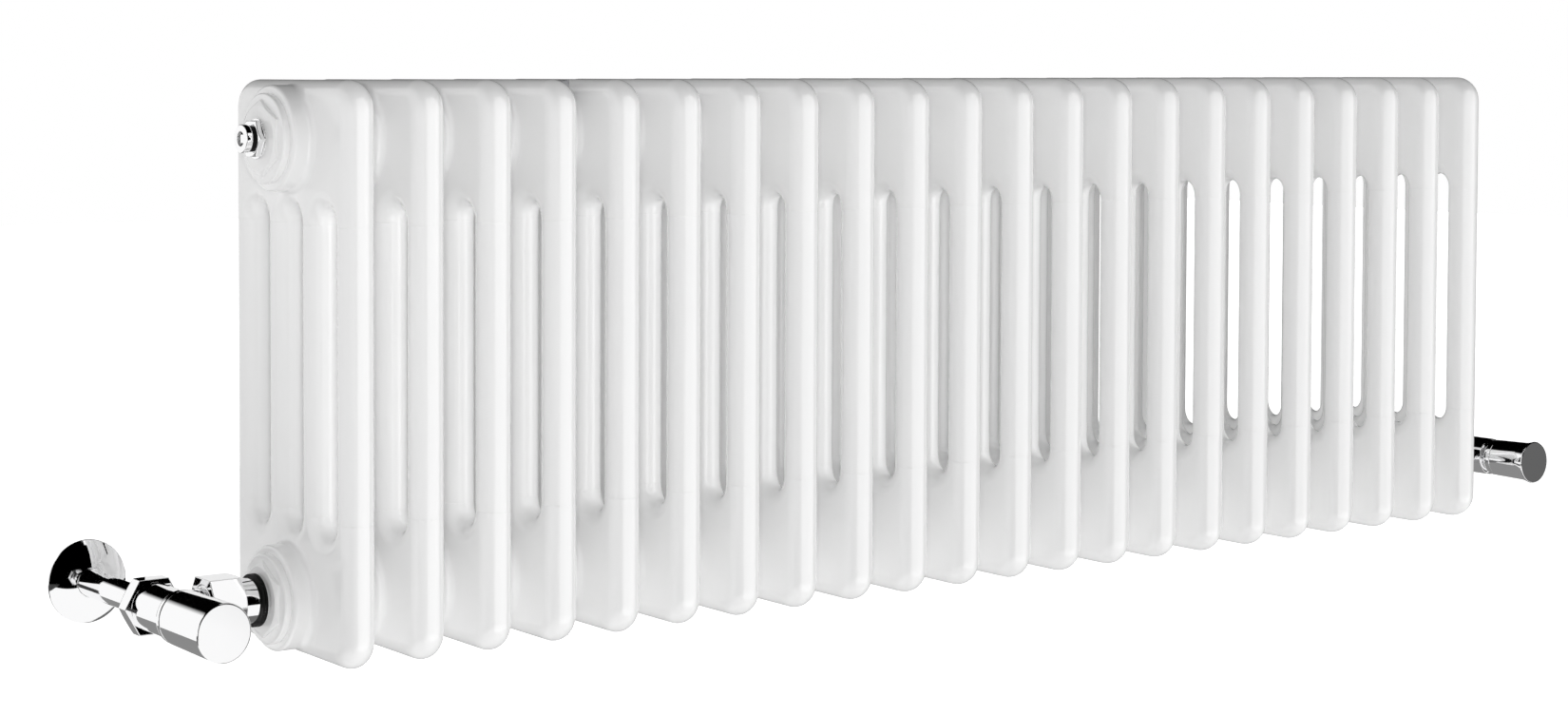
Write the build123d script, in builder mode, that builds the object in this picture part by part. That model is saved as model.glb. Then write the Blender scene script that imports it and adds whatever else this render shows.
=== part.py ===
"""Steel column radiator with an angle valve, a lockshield valve and an air vent.

Millimetres. X runs along the radiator, +Y goes into the wall and +Z is up. The origin is the middle of
the wall screw pattern, on the wall.
"""

import math
import os

from build123d import *

# Radiator block
SECTION_COUNT = 22
SECTION_PITCH = 45.0
COLUMN_COUNT = 4
COLUMN_PITCH = 39.0
TUBE_DIAMETER = 20.0
STEEL_WALL = 1.5
WATERWAY_WIDTH = 14.0
WATERWAY_INSET = 4.5
HEIGHT = 326.0
CORNER_RADIUS = 17.0
EDGE_FLAT = 0.1
WALL_GAP = 36.0

# Hubs that join the sections
HUB_DIAMETER = 60.0
HUB_BORE = 33.0
HUB_FILLET = 4.0
SEAM_ROUND = 2.0
EDGE_MARGIN = 3.0
SLOT_MARGIN = 8.5

# End bushes and their gaskets
BUSH_FLANGE_STEP = 4.5
BUSH_FLANGE_HEIGHT = 4.1
BUSH_FLANGE_ROUND = 1.2
BUSH_FLATS = 38.0
BUSH_HEX_HEIGHT = 2.8
BUSH_SHANK = 14.0
BUSH_BORE = 20.8
GASKET_WIDTH = 1.8
GASKET_THICKNESS = 1.5

# Air vent and blanking plug
VENT_FLANGE_DIAMETER = 23.0
VENT_FLANGE_HEIGHT = 1.2
VENT_FLATS = 20.0
VENT_HEX_HEIGHT = 3.8
VENT_SHANK = 10.0
VENT_NECK_DIAMETER = 11.0
VENT_SEAL_DIAMETER = 14.6
VENT_SEAL_HEIGHT = 1.6
VENT_HEAD_DIAMETER = 16.0
VENT_HEAD_HEIGHT = 4.0
VENT_HEAD_FRONT = 0.8
VENT_PIN_DIAMETER = 5.6
VENT_PIN_LENGTH = 12.0
VENT_PIN_SQUARE = 5.0
VENT_PIN_SQUARE_HEIGHT = 3.0
VENT_KEY_WELL = 8.4
PLUG_HEAD_DIAMETER = 27.0
PLUG_HEAD_HEIGHT = 4.0
PLUG_SOCKET_FLATS = 10.0
PLUG_SOCKET_DEPTH = 6.0

# Valves, measured across the valve axis, or along it from the union axis
VALVE_OFFSET = 88.0
PIPE_DIAMETER = 16.0
PIPE_BORE = 13.0
PIPE_STUB_DIAMETER = 15.0
PIPE_STUB = 25.0
ROSETTE_DIAMETER = 49.0
ROSETTE_HEIGHT = 6.0
ROSETTE_RIM = 4.6
ROSETTE_SHEET = 1.2
NUT_FLATS = 31.0
NUT_SETBACK = 13.5
NUT_LENGTH = 10.0
NUT_COLLAR_DIAMETER = 26.0
NUT_COLLAR_LENGTH = 2.0
NUT_SHOULDER = 1.4
OLIVE_LENGTH = 2.1
OLIVE_WIDTH = 2.8
INLET_THREAD_DIAMETER = 22.0
PIPE_SETBACK = 13.0
INLET_BORE = 12.0
SEAT_SETBACK = 9.5
CHAMBER_DIAMETER = 20.0
BARREL_DIAMETER = 27.5
BARREL_REACH = 20.5

# Union between the valve and the radiator, measured from the valve axis
BRANCH_DIAMETER = 20.0
BRANCH_BORE = 15.0
UNION_THREAD_DIAMETER = 24.0
UNION_THREAD_LENGTH = 7.5
UNION_NUT_START = 23.0
UNION_NUT_LENGTH = 20.5
UNION_THREAD_INSET = 1.0
UNION_WASHER = 1.5
TAIL_FLANGE_LENGTH = 4.0
TAIL_REACH = 12.0
SLEEVE_DIAMETER = 26.0
SLEEVE_GROOVE_DIAMETER = 23.5
SLEEVE_LIP_DIAMETER = 29.0
SLEEVE_LIP = 0.5
SLEEVE_END_DIAMETER = 27.0
SLEEVE_END = 2.0
SEAL_RING_DIAMETER = 30.0
SEAL_RING_WIDTH = 1.4

# Valve insides
BONNET_SHANK = 11.0
BONNET_CAVITY_DIAMETER = 16.0
BONNET_ROOF = 3.0
BONNET_NECK = 17.0
SUPPLY_FLANGE_DIAMETER = 30.8
SUPPLY_FLANGE_LENGTH = 3.0
SUPPLY_NECK_DIAMETER = 18.0
RETURN_FLANGE_DIAMETER = 26.8
RETURN_FLANGE_LENGTH = 7.6
RETURN_FLANGE_ROUND = 5.0
RETURN_NECK_DIAMETER = 20.0
STEM_RING_WIDTH = 1.7
STEM_RING_LENGTH = 2.0
SPINDLE_DIAMETER = 8.0
SPINDLE_COLLAR_DIAMETER = 12.0
SPINDLE_COLLAR_LENGTH = 1.6
DISC_DIAMETER = 15.0
DISC_LENGTH = 13.0
DISC_FLOOR = 2.0
DISC_WASHER = 1.7
DISC_LIFT = 4.5
SPINDLE_KEY_FLATS = 5.0
SPINDLE_KEY_DEPTH = 6.0

# Knob of the supply valve and cap of the return valve
HEAD_GAP = 1.0
KNOB_BASE_DIAMETER = 31.2
KNOB_END_DIAMETER = 32.4
KNOB_LENGTH = 47.0
KNOB_BEVEL = 0.5
KNOB_CAVITY_DIAMETER = 23.0
KNOB_CAVITY_DEPTH = 19.0
KNOB_GRIP = 12.0
CAP_BASE_DIAMETER = 27.0
CAP_WAIST_DIAMETER = 28.2
CAP_END_DIAMETER = 31.4
CAP_LENGTH = 30.5
CAP_FLARE = 8.0
CAP_RIM = 0.8
CAP_ROOF = 5.0

# Wall brackets
BRACKET_GAP_COUNT = 7
RAIL_WIDTH = 26.0
RAIL_THICKNESS = 4.0
WALL_SCREW_SPACING = 190.0
WALL_SCREW_HOLE = 8.5
ARM_THICKNESS = 8.0
ARM_DEPTH = 7.0
CRADLE_REACH = 30.0
CRADLE_HORN = 10.0
HOOK_DEPTH = 2.5
HOOK_TAB_LENGTH = 44.0
HOOK_TAB_THICKNESS = 4.0
HOOK_SCREW_DIAMETER = 6.0
HOOK_SCREW_HEAD_DIAMETER = 11.0
HOOK_SCREW_HEAD_HEIGHT = 4.0

# Share of a hexagon's corner that is turned off at its ends
HEX_BEVEL = 0.6

# Clearances, on the radius
THREAD_PLAY = 0.1
RUNNING_PLAY = 0.2
SEAT_PLAY = 0.3

# Derived places
DEPTH = (COLUMN_COUNT - 1) * COLUMN_PITCH + TUBE_DIAMETER
MIDDLE_Y = -(WALL_GAP + DEPTH / 2)
HEAD_HEIGHT = EDGE_MARGIN + HUB_DIAMETER + SLOT_MARGIN
HUB_Z = HEIGHT / 2 - EDGE_MARGIN - HUB_DIAMETER / 2
SLOT_WIDTH = COLUMN_PITCH - TUBE_DIAMETER
SLOT_CENTRE_Z = HEIGHT / 2 - HEAD_HEIGHT - SLOT_WIDTH / 2
WATERWAY_FLOOR_Z = HEIGHT / 2 - HEAD_HEIGHT + WATERWAY_INSET
COLUMN_YS = [MIDDLE_Y + (i - (COLUMN_COUNT - 1) / 2) * COLUMN_PITCH for i in range(COLUMN_COUNT)]
SLOT_YS = [y + COLUMN_PITCH / 2 for y in COLUMN_YS[:-1]]
SECTION_XS = [(i - (SECTION_COUNT - 1) / 2) * SECTION_PITCH for i in range(SECTION_COUNT)]
END_FACE_X = SECTION_COUNT * SECTION_PITCH / 2
BUSH_FLANGE_DIAMETER = HUB_DIAMETER - 2 * BUSH_FLANGE_STEP
BUSH_FACE = BUSH_FLANGE_HEIGHT + BUSH_HEX_HEIGHT
VALVE_X = SECTION_XS[-1] + VALVE_OFFSET
BUSH_FACE_REACH = VALVE_X - END_FACE_X - BUSH_FACE
UNION_REACH = WALL_GAP + DEPTH / 2
NUT_FRONT = UNION_REACH - NUT_SETBACK
PIPE_STOP = UNION_REACH - PIPE_SETBACK
SEAT = UNION_REACH - SEAT_SETBACK
BARREL_END = UNION_REACH + BARREL_REACH
LEFT = -1
RIGHT = 1
TOP = 1
BOTTOM = -1

os.makedirs("parts", exist_ok=True)


def save(piece, name):
    """Label a finished piece and write it as its own file."""
    piece.label = name
    export_step(piece, f"parts/{name}.step")


def turned(plane, *points):
    """Revolve an outline about the plane's x axis: x runs along the axis and y is the radius."""
    with BuildPart() as piece:
        with BuildSketch(plane):
            with BuildLine():
                Polyline(*points, close=True)
            make_face()
        revolve(axis=Axis(plane.origin, plane.x_dir))
    return piece.part


def ring(plane, start, end, inner_diameter, outer_diameter):
    """A plain ring on the plane's x axis."""
    inner = inner_diameter / 2
    outer = outer_diameter / 2
    return turned(plane, (start, inner), (end, inner), (end, outer), (start, outer))


def rod(plane, start, end, diameter):
    """A plain round bar on the plane's x axis."""
    return ring(plane, start, end, 0, diameter)


def across(plane, distance):
    """The plane square to the x axis of a turning plane, at a distance along that axis."""
    return Plane(plane.origin + plane.x_dir * distance, x_dir=plane.y_dir, z_dir=plane.x_dir)


def hexagon(plane, start, length, flats, turn, chamfered_start=True, chamfered_end=True):
    """A hexagon bar on the plane's x axis, with its corners turned off at the ends.

    A turn of 0 puts a corner on the plane's y axis, and a turn of 30 puts a flat there.
    """
    corner = flats / 3**0.5
    bevel = (corner - flats / 2) * HEX_BEVEL
    end = start + length
    start_points = [(start, corner)]
    if chamfered_start:
        start_points = [(start, corner - 2 * bevel), (start + bevel, corner)]
    end_points = [(end, corner)]
    if chamfered_end:
        end_points = [(end - bevel, corner), (end, corner - 2 * bevel)]
    turned_blank = turned(plane, (start, 0), *start_points, *end_points, (end, 0))
    with BuildPart() as piece:
        with BuildSketch(across(plane, start)):
            RegularPolygon(flats / 2, 6, major_radius=False, rotation=turn)
        extrude(amount=length)
        add(turned_blank, mode=Mode.INTERSECT)
    return piece.part


def end_plane(side, level):
    """Turning plane on a hub axis: the origin is on the hub face and x points away from the radiator."""
    return Plane((side * END_FACE_X, MIDDLE_Y, level * HUB_Z), x_dir=(side, 0, 0), z_dir=(0, -side, 0))


def valve_plane(side):
    """Turning plane on a valve axis: the origin is on the wall and x points to the room."""
    return Plane((side * VALVE_X, 0, -HUB_Z), x_dir=(0, -1, 0), z_dir=(-1, 0, 0))


def union_plane(side):
    """Turning plane on a union axis: the origin is on the valve axis and x points to the radiator."""
    return Plane((side * VALVE_X, MIDDLE_Y, -HUB_Z), x_dir=(-side, 0, 0), z_dir=(0, side, 0))


# Radiator sections


def head_shell():
    """The outside of a top head: a plate with a half-round end to each slot and full-round edges."""
    with BuildPart() as shell:
        with BuildSketch(Plane.YZ) as outline:
            with Locations((MIDDLE_Y, HEIGHT / 2)):
                Rectangle(DEPTH, HEIGHT / 2 - SLOT_CENTRE_Z, align=(Align.CENTER, Align.MAX))
            fillet(outline.vertices().group_by(Axis.Y)[-1], CORNER_RADIUS)
            with Locations(*[(y, SLOT_CENTRE_Z) for y in SLOT_YS]):
                Circle(SLOT_WIDTH / 2, mode=Mode.SUBTRACT)
        extrude(amount=TUBE_DIAMETER / 2, both=True)
        flat_sides = shell.faces().filter_by(Axis.X)
        rims = flat_sides.edges().filter_by(lambda edge: edge.center().Z > SLOT_CENTRE_Z + EDGE_FLAT)
        fillet(rims, TUBE_DIAMETER / 2 - EDGE_FLAT)
    return shell.part


def head_waterway():
    """The hollow of a top head, with a round way down to each tube."""
    with BuildPart() as waterway:
        with BuildSketch(Plane.YZ) as outline:
            with Locations((MIDDLE_Y, WATERWAY_FLOOR_Z)):
                Rectangle(
                    DEPTH - 2 * WATERWAY_INSET,
                    HEAD_HEIGHT - 2 * WATERWAY_INSET,
                    align=(Align.CENTER, Align.MIN),
                )
            fillet(outline.vertices().group_by(Axis.Y)[-1], CORNER_RADIUS - WATERWAY_INSET)
        extrude(amount=WATERWAY_WIDTH / 2, both=True)
        with BuildSketch(Plane.XY.offset(SLOT_CENTRE_Z)):
            with Locations(*[(0, y) for y in COLUMN_YS]):
                Circle(WATERWAY_WIDTH / 2)
        extrude(amount=WATERWAY_FLOOR_Z + WATERWAY_INSET - SLOT_CENTRE_Z)
    return waterway.part


def hub_collars():
    """The hub through a top head, out to the middle of the gap on both sides."""
    plane = Plane((0, MIDDLE_Y, HUB_Z), x_dir=(1, 0, 0), z_dir=(0, -1, 0))
    with BuildPart() as collars:
        add(rod(plane, -SECTION_PITCH / 2, SECTION_PITCH / 2, HUB_DIAMETER))
        fillet(collars.edges().filter_by(GeomType.CIRCLE), SEAM_ROUND)
    return collars.part


def is_collar_foot(edge):
    """True for an edge where a hub collar stands on the face of its head."""
    middle = edge @ 0.5
    radius = math.hypot(middle.Y - MIDDLE_Y, middle.Z - HUB_Z)
    on_collar = abs(radius - HUB_DIAMETER / 2) < EDGE_FLAT
    return on_collar and abs(middle.X) < TUBE_DIAMETER / 2 + EDGE_FLAT


with BuildPart() as top_head:
    add(head_shell())
    add(hub_collars())
    fillet(top_head.edges().filter_by(is_collar_foot), HUB_FILLET)
    add(head_waterway(), mode=Mode.SUBTRACT)
    with Locations((0, MIDDLE_Y, HUB_Z)):
        Cylinder(HUB_BORE / 2, SECTION_PITCH, rotation=(0, 90, 0), mode=Mode.SUBTRACT)

with BuildPart() as bottom_head:
    add(mirror(top_head.part, about=Plane.XY, mode=Mode.PRIVATE))

with BuildPart() as tubes:
    with BuildSketch(Plane.XY.offset(-SLOT_CENTRE_Z)):
        with Locations(*[(0, y) for y in COLUMN_YS]):
            Circle(TUBE_DIAMETER / 2)
            Circle(TUBE_DIAMETER / 2 - STEEL_WALL, mode=Mode.SUBTRACT)
    extrude(amount=2 * SLOT_CENTRE_Z)


def gasket_recess(side):
    """The two rings cut in an end section's hub faces for the bush gaskets."""
    with BuildPart() as recess:
        for level in (TOP, BOTTOM):
            add(ring(end_plane(side, level), -GASKET_THICKNESS, 0, HUB_BORE / 2, HUB_BORE + 2 * GASKET_WIDTH))
    return recess.part


for number, x in enumerate(SECTION_XS, start=1):
    pieces = [piece.moved(Location((x, 0, 0))) for piece in (top_head.part, bottom_head.part, tubes.part)]
    end = {1: LEFT, SECTION_COUNT: RIGHT}.get(number)
    if end:
        pieces = [piece - gasket_recess(end) for piece in pieces]
    section = Compound([solid for piece in pieces for solid in piece.solids()])
    save(section, f"section_{number:02d}")


# End bushes and gaskets


def end_bush(side, level):
    """Reducing bush: a round flange on the hub, a low hexagon on that and a threaded shank."""
    plane = end_plane(side, level)
    with BuildPart() as bush:
        add(rod(plane, 0, BUSH_FLANGE_HEIGHT, BUSH_FLANGE_DIAMETER))
        rim = bush.edges().filter_by(GeomType.CIRCLE).sort_by(Axis(plane.origin, plane.x_dir))[-1]
        fillet(rim, BUSH_FLANGE_ROUND)
        add(hexagon(plane, BUSH_FLANGE_HEIGHT, BUSH_HEX_HEIGHT, BUSH_FLATS, turn=0, chamfered_start=False))
        add(rod(plane, -BUSH_SHANK, 0, HUB_BORE - 2 * THREAD_PLAY))
        add(rod(plane, -BUSH_SHANK, BUSH_FACE, BUSH_BORE), mode=Mode.SUBTRACT)
    return bush.part


CORNERS = {
    "top_left": (LEFT, TOP),
    "bottom_left": (LEFT, BOTTOM),
    "top_right": (RIGHT, TOP),
    "bottom_right": (RIGHT, BOTTOM),
}

gaskets = []
for corner, (side, level) in CORNERS.items():
    save(end_bush(side, level), f"end_bush_{corner}")
    gaskets.append(ring(end_plane(side, level), -GASKET_THICKNESS, 0, HUB_BORE, HUB_BORE + 2 * GASKET_WIDTH))
save(Compound(gaskets), "bush_gaskets")


# Air vent at the top left and blanking plug at the top right

vent_axis = end_plane(LEFT, TOP)
vent_hex_start = BUSH_FACE + VENT_FLANGE_HEIGHT
vent_hex_end = vent_hex_start + VENT_HEX_HEIGHT
vent_seal_end = vent_hex_end + VENT_SEAL_HEIGHT
vent_head_start = vent_seal_end + RUNNING_PLAY
vent_head_end = vent_head_start + VENT_HEAD_HEIGHT
vent_neck_end = vent_head_end - VENT_HEAD_FRONT - RUNNING_PLAY
vent_pin_end = vent_neck_end
vent_well_floor = vent_pin_end - VENT_PIN_SQUARE_HEIGHT

with BuildPart() as vent_body:
    add(rod(vent_axis, BUSH_FACE - VENT_SHANK, BUSH_FACE, BUSH_BORE - 2 * THREAD_PLAY))
    add(rod(vent_axis, BUSH_FACE, vent_hex_start, VENT_FLANGE_DIAMETER))
    add(hexagon(vent_axis, vent_hex_start, VENT_HEX_HEIGHT, VENT_FLATS, turn=30, chamfered_start=False))
    add(rod(vent_axis, vent_hex_end, vent_neck_end, VENT_NECK_DIAMETER))
    add(rod(vent_axis, vent_well_floor, vent_neck_end, VENT_KEY_WELL), mode=Mode.SUBTRACT)
    pin_bore = VENT_PIN_DIAMETER + 2 * RUNNING_PLAY
    add(rod(vent_axis, BUSH_FACE - VENT_SHANK, vent_well_floor, pin_bore), mode=Mode.SUBTRACT)
save(vent_body.part, "vent_body")

vent_seal = ring(vent_axis, vent_hex_end, vent_seal_end, VENT_NECK_DIAMETER, VENT_SEAL_DIAMETER)
save(vent_seal, "vent_seal")

with BuildPart() as vent_head:
    add(rod(vent_axis, vent_head_start, vent_head_end, VENT_HEAD_DIAMETER))
    chamfer(vent_head.edges().filter_by(GeomType.CIRCLE), VENT_HEAD_FRONT / 2)
    neck_room = VENT_NECK_DIAMETER + 2 * RUNNING_PLAY
    add(rod(vent_axis, vent_head_start, vent_head_end - VENT_HEAD_FRONT, neck_room), mode=Mode.SUBTRACT)
    add(rod(vent_axis, vent_head_start, vent_head_end, VENT_KEY_WELL), mode=Mode.SUBTRACT)
save(vent_head.part, "vent_head")

with BuildPart() as vent_pin:
    add(rod(vent_axis, vent_pin_end - VENT_PIN_LENGTH, vent_well_floor + RUNNING_PLAY, VENT_PIN_DIAMETER))
    with BuildSketch(across(vent_axis, vent_well_floor + RUNNING_PLAY)):
        Rectangle(VENT_PIN_SQUARE, VENT_PIN_SQUARE)
    extrude(amount=VENT_PIN_SQUARE_HEIGHT - RUNNING_PLAY)
save(vent_pin.part, "vent_pin")

plug_axis = end_plane(RIGHT, TOP)
with BuildPart() as blank_plug:
    add(rod(plug_axis, BUSH_FACE - VENT_SHANK, BUSH_FACE, BUSH_BORE - 2 * THREAD_PLAY))
    add(rod(plug_axis, BUSH_FACE, BUSH_FACE + PLUG_HEAD_HEIGHT, PLUG_HEAD_DIAMETER))
    rim = blank_plug.edges().filter_by(GeomType.CIRCLE).sort_by(Axis.X)[-1]
    fillet(rim, PLUG_HEAD_HEIGHT / 4)
    with BuildSketch(across(plug_axis, BUSH_FACE + PLUG_HEAD_HEIGHT)):
        RegularPolygon(PLUG_SOCKET_FLATS / 2, 6, major_radius=False)
    extrude(amount=-PLUG_SOCKET_DEPTH, mode=Mode.SUBTRACT)
save(blank_plug.part, "blank_plug")


# Pipes, rosettes and compression joints

nut_back = NUT_FRONT - NUT_LENGTH
olive_start = nut_back + NUT_SHOULDER
olive_end = olive_start + OLIVE_LENGTH
pipe_room = PIPE_DIAMETER + 2 * THREAD_PLAY


def pipe(side):
    """The chrome pipe from the wall to its stop in the valve body, with a slimmer stub inside the wall."""
    plane = valve_plane(side)
    with BuildPart() as piece:
        add(rod(plane, -PIPE_STUB, 0, PIPE_STUB_DIAMETER))
        add(rod(plane, 0, PIPE_STOP, PIPE_DIAMETER))
        add(rod(plane, -PIPE_STUB, PIPE_STOP, PIPE_BORE), mode=Mode.SUBTRACT)
    return piece.part


def rosette(side):
    """A pressed cover plate: a straight rim and a shallow dome up to the pipe."""
    outer = ROSETTE_DIAMETER / 2
    hole = PIPE_DIAMETER / 2
    inside = outer - ROSETTE_SHEET
    return turned(
        valve_plane(side),
        (0, inside),
        (0, outer),
        (ROSETTE_RIM - ROSETTE_SHEET / 2, outer),
        (ROSETTE_RIM, outer - ROSETTE_SHEET / 2),
        (ROSETTE_HEIGHT, hole),
        (ROSETTE_HEIGHT - ROSETTE_SHEET, hole),
        (ROSETTE_RIM - ROSETTE_SHEET, inside),
    )


def compression_nut(side):
    """The nut that squeezes the olive on the pipe, with a thin collar on its wall side."""
    plane = valve_plane(side)
    with BuildPart() as nut:
        add(hexagon(plane, nut_back, NUT_LENGTH, NUT_FLATS, turn=30, chamfered_end=False))
        add(rod(plane, nut_back - NUT_COLLAR_LENGTH, nut_back, NUT_COLLAR_DIAMETER))
        add(rod(plane, nut_back - NUT_COLLAR_LENGTH, olive_start, pipe_room), mode=Mode.SUBTRACT)
        thread = INLET_THREAD_DIAMETER + 2 * THREAD_PLAY
        add(rod(plane, olive_start, NUT_FRONT, thread), mode=Mode.SUBTRACT)
    return nut.part


def olive(side):
    """The soft brass ring, thickest at its middle."""
    inner = PIPE_DIAMETER / 2
    outer = inner + OLIVE_WIDTH
    bevel = OLIVE_LENGTH / 4
    return turned(
        valve_plane(side),
        (olive_start, inner),
        (olive_start, outer - bevel),
        (olive_start + bevel, outer),
        (olive_end - bevel, outer),
        (olive_end, outer - bevel),
        (olive_end, inner),
    )


save(pipe(LEFT), "supply_pipe")
save(pipe(RIGHT), "return_pipe")
save(Compound([rosette(LEFT), rosette(RIGHT)]), "rosettes")
save(Compound([compression_nut(LEFT), compression_nut(RIGHT)]), "compression_nuts")
save(Compound([olive(LEFT), olive(RIGHT)]), "olives")


# Valve bodies

branch_thread_start = UNION_NUT_START + UNION_THREAD_INSET
branch_end = branch_thread_start + UNION_THREAD_LENGTH


def valve_body(side):
    """The angle body: pipe socket, barrel with its seat and chamber, and the threaded branch."""
    plane = valve_plane(side)
    branch = union_plane(side)
    with BuildPart() as body:
        add(rod(plane, olive_end, NUT_FRONT, INLET_THREAD_DIAMETER))
        add(rod(plane, NUT_FRONT, BARREL_END, BARREL_DIAMETER))
        add(rod(branch, 0, branch_end, BRANCH_DIAMETER))
        add(rod(branch, branch_thread_start, branch_end, UNION_THREAD_DIAMETER))
        add(rod(plane, olive_end, PIPE_STOP, pipe_room), mode=Mode.SUBTRACT)
        add(rod(plane, PIPE_STOP, SEAT, INLET_BORE), mode=Mode.SUBTRACT)
        add(rod(plane, SEAT, BARREL_END, CHAMBER_DIAMETER), mode=Mode.SUBTRACT)
        add(rod(branch, 0, branch_end, BRANCH_BORE), mode=Mode.SUBTRACT)
    return body.part


save(valve_body(LEFT), "supply_body")
save(valve_body(RIGHT), "return_body")


# Unions between valve and radiator

union_nut_end = UNION_NUT_START + UNION_NUT_LENGTH
tail_start = branch_end + UNION_WASHER
tail_flange_end = tail_start + TAIL_FLANGE_LENGTH
tail_diameter = BUSH_BORE - 2 * THREAD_PLAY
sleeve_bore = BUSH_BORE
sleeve_end = BUSH_FACE_REACH - SLEEVE_END
ring_2_start = sleeve_end - SEAL_RING_WIDTH
ring_1_start = ring_2_start - SLEEVE_LIP - SEAL_RING_WIDTH


def union_nut(side):
    """The nut that draws the tail's flange on to the branch."""
    plane = union_plane(side)
    with BuildPart() as nut:
        add(hexagon(plane, UNION_NUT_START, UNION_NUT_LENGTH, NUT_FLATS, turn=30, chamfered_start=False))
        thread = UNION_THREAD_DIAMETER + 2 * THREAD_PLAY
        add(rod(plane, UNION_NUT_START, tail_flange_end, thread), mode=Mode.SUBTRACT)
        add(rod(plane, tail_flange_end, union_nut_end, sleeve_bore), mode=Mode.SUBTRACT)
    return nut.part


def tail(side):
    """The threaded tail from the union into the bush."""
    plane = union_plane(side)
    with BuildPart() as piece:
        add(rod(plane, tail_start, tail_flange_end, UNION_THREAD_DIAMETER))
        add(rod(plane, tail_flange_end, BUSH_FACE_REACH + TAIL_REACH, tail_diameter))
        add(rod(plane, tail_start, BUSH_FACE_REACH + TAIL_REACH, BRANCH_BORE), mode=Mode.SUBTRACT)
    return piece.part


def sleeve(side):
    """The chrome sleeve over the tail, with two grooves for the black sealing rings."""
    outer = SLEEVE_DIAMETER / 2
    groove = SLEEVE_GROOVE_DIAMETER / 2
    lip = SLEEVE_LIP_DIAMETER / 2
    bore = sleeve_bore / 2
    end = SLEEVE_END_DIAMETER / 2
    lip_start = ring_1_start + SEAL_RING_WIDTH
    return turned(
        union_plane(side),
        (union_nut_end, bore),
        (union_nut_end, outer),
        (ring_1_start, outer),
        (ring_1_start, groove),
        (lip_start, groove),
        (lip_start, lip),
        (ring_2_start, lip),
        (ring_2_start, groove),
        (sleeve_end, groove),
        (sleeve_end, end),
        (BUSH_FACE_REACH, end),
        (BUSH_FACE_REACH, bore),
    )


def seal_rings(side):
    """The pair of black rings in the sleeve's grooves."""
    plane = union_plane(side)
    starts = (ring_1_start, ring_2_start)
    return [
        ring(plane, start, start + SEAL_RING_WIDTH, SLEEVE_GROOVE_DIAMETER, SEAL_RING_DIAMETER)
        for start in starts
    ]


def union_washer(side):
    """The flat washer between the branch and the tail's flange."""
    return ring(union_plane(side), branch_end, tail_start, BRANCH_BORE, UNION_THREAD_DIAMETER)


save(Compound([union_nut(LEFT), union_nut(RIGHT)]), "union_nuts")
save(tail(LEFT), "supply_tail")
save(tail(RIGHT), "return_tail")
save(Compound([sleeve(LEFT), sleeve(RIGHT)]), "tail_sleeves")
save(Compound([*seal_rings(LEFT), *seal_rings(RIGHT)]), "seal_rings")
save(Compound([union_washer(LEFT), union_washer(RIGHT)]), "union_washers")


# Bonnets, spindles and discs

bonnet_start = BARREL_END - BONNET_SHANK
bonnet_roof = BARREL_END - BONNET_ROOF
spindle_room = SPINDLE_DIAMETER + 2 * RUNNING_PLAY
stem_ring_diameter = spindle_room + 2 * STEM_RING_WIDTH
disc_start = SEAT + SEAT_PLAY
carrier_start = disc_start + DISC_WASHER
carrier_end = carrier_start + DISC_LENGTH
spindle_tip = carrier_start + DISC_FLOOR + DISC_LIFT + SEAT_PLAY
return_neck_end = BARREL_END + RETURN_FLANGE_LENGTH + BONNET_NECK


def bonnet(side, flange_diameter, flange_length, neck_diameter, back_round):
    """The screwed-in bonnet: shank in the chamber, flange on the barrel, and the neck round the spindle."""
    plane = valve_plane(side)
    flange_end = BARREL_END + flange_length
    neck_end = flange_end + BONNET_NECK
    stem_ring_start = (flange_end + neck_end) / 2
    with BuildPart() as piece:
        add(rod(plane, BARREL_END, flange_end, flange_diameter))
        if back_round:
            back = piece.edges().filter_by(GeomType.CIRCLE).sort_by(Axis.Y)[-1]
            fillet(back, back_round)
        add(rod(plane, bonnet_start, BARREL_END, CHAMBER_DIAMETER - 2 * THREAD_PLAY))
        add(rod(plane, flange_end, neck_end, neck_diameter))
        add(rod(plane, bonnet_start, bonnet_roof, BONNET_CAVITY_DIAMETER), mode=Mode.SUBTRACT)
        add(rod(plane, bonnet_roof, neck_end, spindle_room), mode=Mode.SUBTRACT)
        stem_ring_end = stem_ring_start + STEM_RING_LENGTH
        add(rod(plane, stem_ring_start, stem_ring_end, stem_ring_diameter), mode=Mode.SUBTRACT)
    return piece.part


def stem_ring(side, flange_length):
    """The ring that seals the spindle in the bonnet's neck."""
    start = BARREL_END + flange_length + BONNET_NECK / 2
    return ring(valve_plane(side), start, start + STEM_RING_LENGTH, spindle_room, stem_ring_diameter)


def spindle(side, end):
    """The spindle: thread at its tip and a collar under the bonnet's roof that keeps it in."""
    plane = valve_plane(side)
    collar_end = bonnet_roof - RUNNING_PLAY
    with BuildPart() as piece:
        add(rod(plane, spindle_tip, end, SPINDLE_DIAMETER))
        add(rod(plane, collar_end - SPINDLE_COLLAR_LENGTH, collar_end, SPINDLE_COLLAR_DIAMETER))
    return piece.part


def disc_carrier(side):
    """The nut on the spindle's thread that carries the disc washer."""
    plane = valve_plane(side)
    with BuildPart() as piece:
        add(rod(plane, carrier_start, carrier_end, DISC_DIAMETER))
        add(rod(plane, carrier_start + DISC_FLOOR, carrier_end, spindle_room), mode=Mode.SUBTRACT)
    return piece.part


def disc_washer(side):
    """The rubber washer that closes the seat."""
    return rod(valve_plane(side), disc_start, carrier_start, DISC_DIAMETER)


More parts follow.
